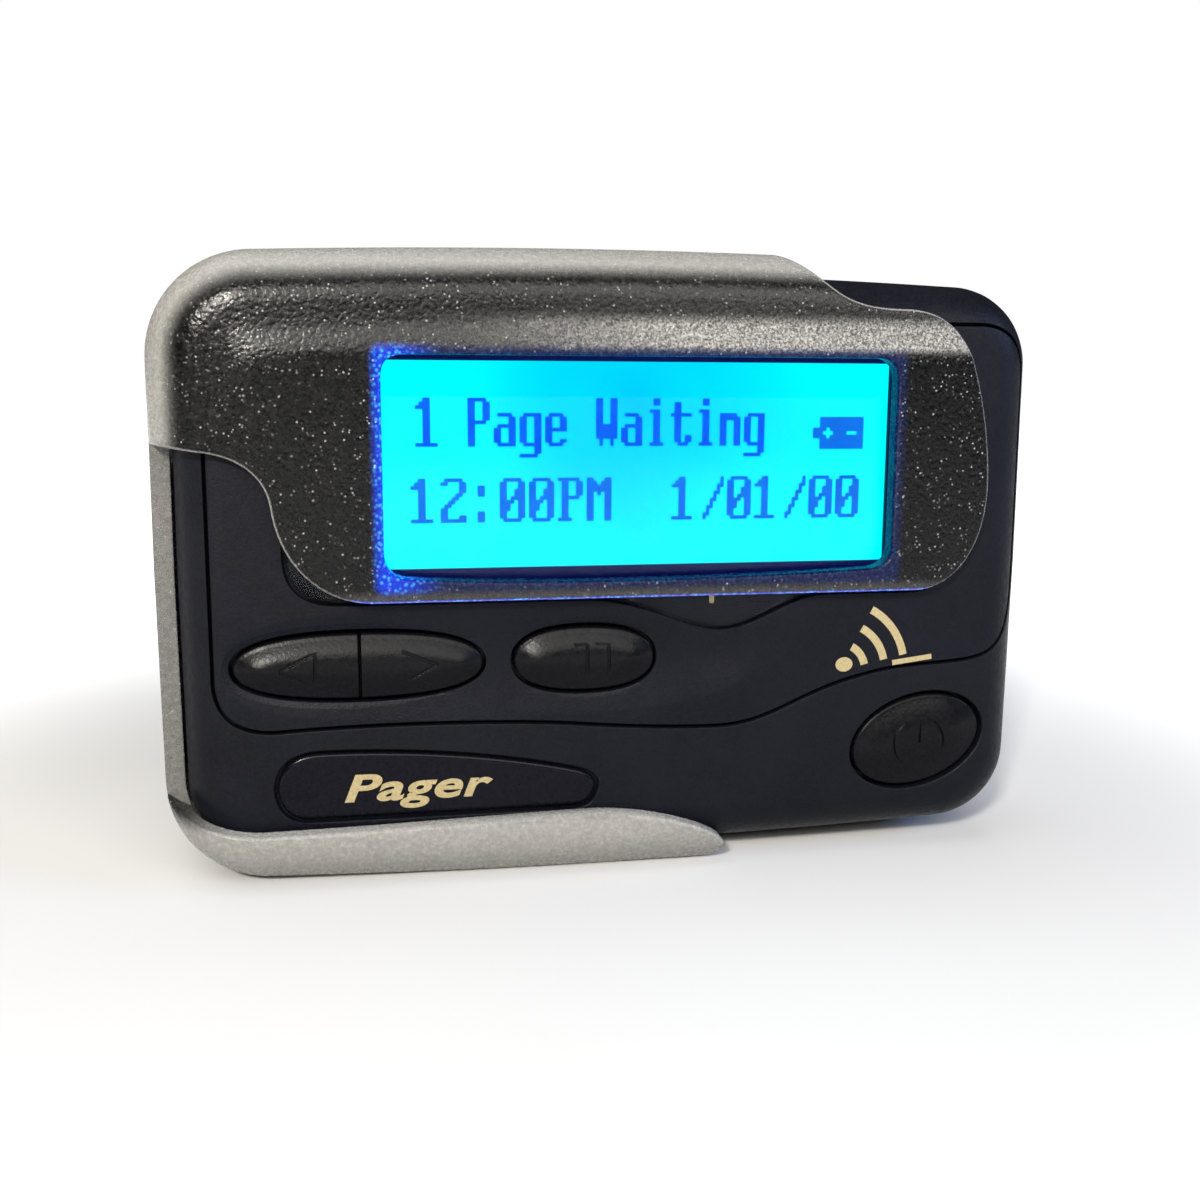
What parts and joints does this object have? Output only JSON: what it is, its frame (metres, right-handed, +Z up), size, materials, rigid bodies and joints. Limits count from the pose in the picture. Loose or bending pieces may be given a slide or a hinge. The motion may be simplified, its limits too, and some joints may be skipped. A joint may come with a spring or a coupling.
{
  "type": "pager",
  "caption": "Alphanumeric belt pager with a lit two-line display and keys, held in a smoke-coloured slide-in holster with a sprung belt clip.",
  "frame": {"origin": "centre of the bounding box at its lowest level, on the plane that the holster's flat base stands on", "axes": "+Z up, +X to the object's right as seen from the front, -Y out of the display towards the viewer"},
  "size_m": [0.082, 0.029, 0.0574],
  "materials": {
    "smoke_plastic": "smoke-tinted frosted polycarbonate with a fine sparkling grain and polished edges",
    "clip_plastic": "black moulded nylon, fine grain",
    "case_plastic": "black moulded plastic, fine spark-eroded grain",
    "key_plastic": "black satin plastic, slightly polished on the crown",
    "lens_plastic": "clear acrylic with a dark blue printed border",
    "label_plastic": "dark metallic label with a bright bevel",
    "lit_display": "back-lit cyan liquid crystal panel",
    "diffuser": "white light guide",
    "pad_rubber": "grey silicone rubber",
    "board": "green solder mask on glass-fibre board",
    "chip_plastic": "black moulded component plastic",
    "cell_jacket": "plain blue printed cell jacket",
    "steel": "nickel-plated steel",
    "brass": "brass, lightly tarnished",
    "gold_print": "matt gold printed ink",
    "display_ink": "blue liquid crystal segments, lit from behind",
    "silver_trim": "bright cut bevel"
  },
  "bodies": {
    "holster": {"holster_shell": "smoke_plastic", "clip_pin": "steel", "clip_spring": "steel"},
    "clip": {"belt_clip": "clip_plastic"},
    "pager": {"front_housing": "case_plastic", "faceplate": "case_plastic", "display_lens": "lens_plastic", "nameplate": "label_plastic", "keypad_membrane": "pad_rubber", "power_key_pad": "pad_rubber", "key_switch_1": "steel", "key_switch_2": "steel", "key_switch_3": "steel", "key_switch_4": "steel", "display_glass": "lit_display", "display_holder": "chip_plastic", "backlight_panel": "diffuser", "ledge_connector": "pad_rubber", "main_board": "board", "receiver_shield": "steel", "processor_chip": "chip_plastic", "crystal_can": "steel", "motor_can": "steel", "motor_cradle": "pad_rubber", "buzzer": "chip_plastic", "loop_antenna": "brass", "battery_cell": "cell_jacket", "battery_contact": "steel", "battery_spring": "steel", "back_housing": "case_plastic", "case_screw_1": "steel", "case_screw_2": "steel", "case_screw_3": "steel"},
    "left_cap": {"left_key": "key_plastic"},
    "right_cap": {"right_key": "key_plastic"},
    "read_cap": {"read_key": "key_plastic"},
    "power_cap": {"power_key": "key_plastic"},
    "weight": {"motor_weight": "brass"},
    "door": {"battery_door": "case_plastic"}
  },
  "joints": [
    {"name": "pager_slide", "type": "slide", "parent": "holster", "child": "pager", "axis": [1, 0, 0], "range_m": [0, 0.085]},
    {"name": "clip_hinge", "type": "hinge", "parent": "holster", "child": "clip", "pos_m": [0.001, 0.0112, 0.0414], "axis": [1, 0, 0], "range_deg": [0, 18], "stiffness_Nm_per_rad": 0.1, "springref_deg": -11.46},
    {"name": "left_key_press", "type": "slide", "parent": "pager", "child": "left_cap", "axis": [0, 1, 0], "range_m": [0, 0.0007], "stiffness_N_per_m": 1000},
    {"name": "right_key_press", "type": "slide", "parent": "pager", "child": "right_cap", "axis": [0, 1, 0], "range_m": [0, 0.0007], "stiffness_N_per_m": 1000},
    {"name": "read_key_press", "type": "slide", "parent": "pager", "child": "read_cap", "axis": [0, 1, 0], "range_m": [0, 0.0007], "stiffness_N_per_m": 1000},
    {"name": "power_key_press", "type": "slide", "parent": "pager", "child": "power_cap", "axis": [0, 1, 0], "range_m": [0, 0.0007], "stiffness_N_per_m": 1000},
    {"name": "vibrator_spin", "type": "hinge", "parent": "pager", "child": "weight", "pos_m": [-0.024, -0.002, 0.0459], "axis": [1, 0, 0], "continuous": true},
    {"name": "door_slide", "type": "slide", "parent": "pager", "child": "door", "axis": [1, 0, 0], "range_m": [0, 0.056]}
  ]
}
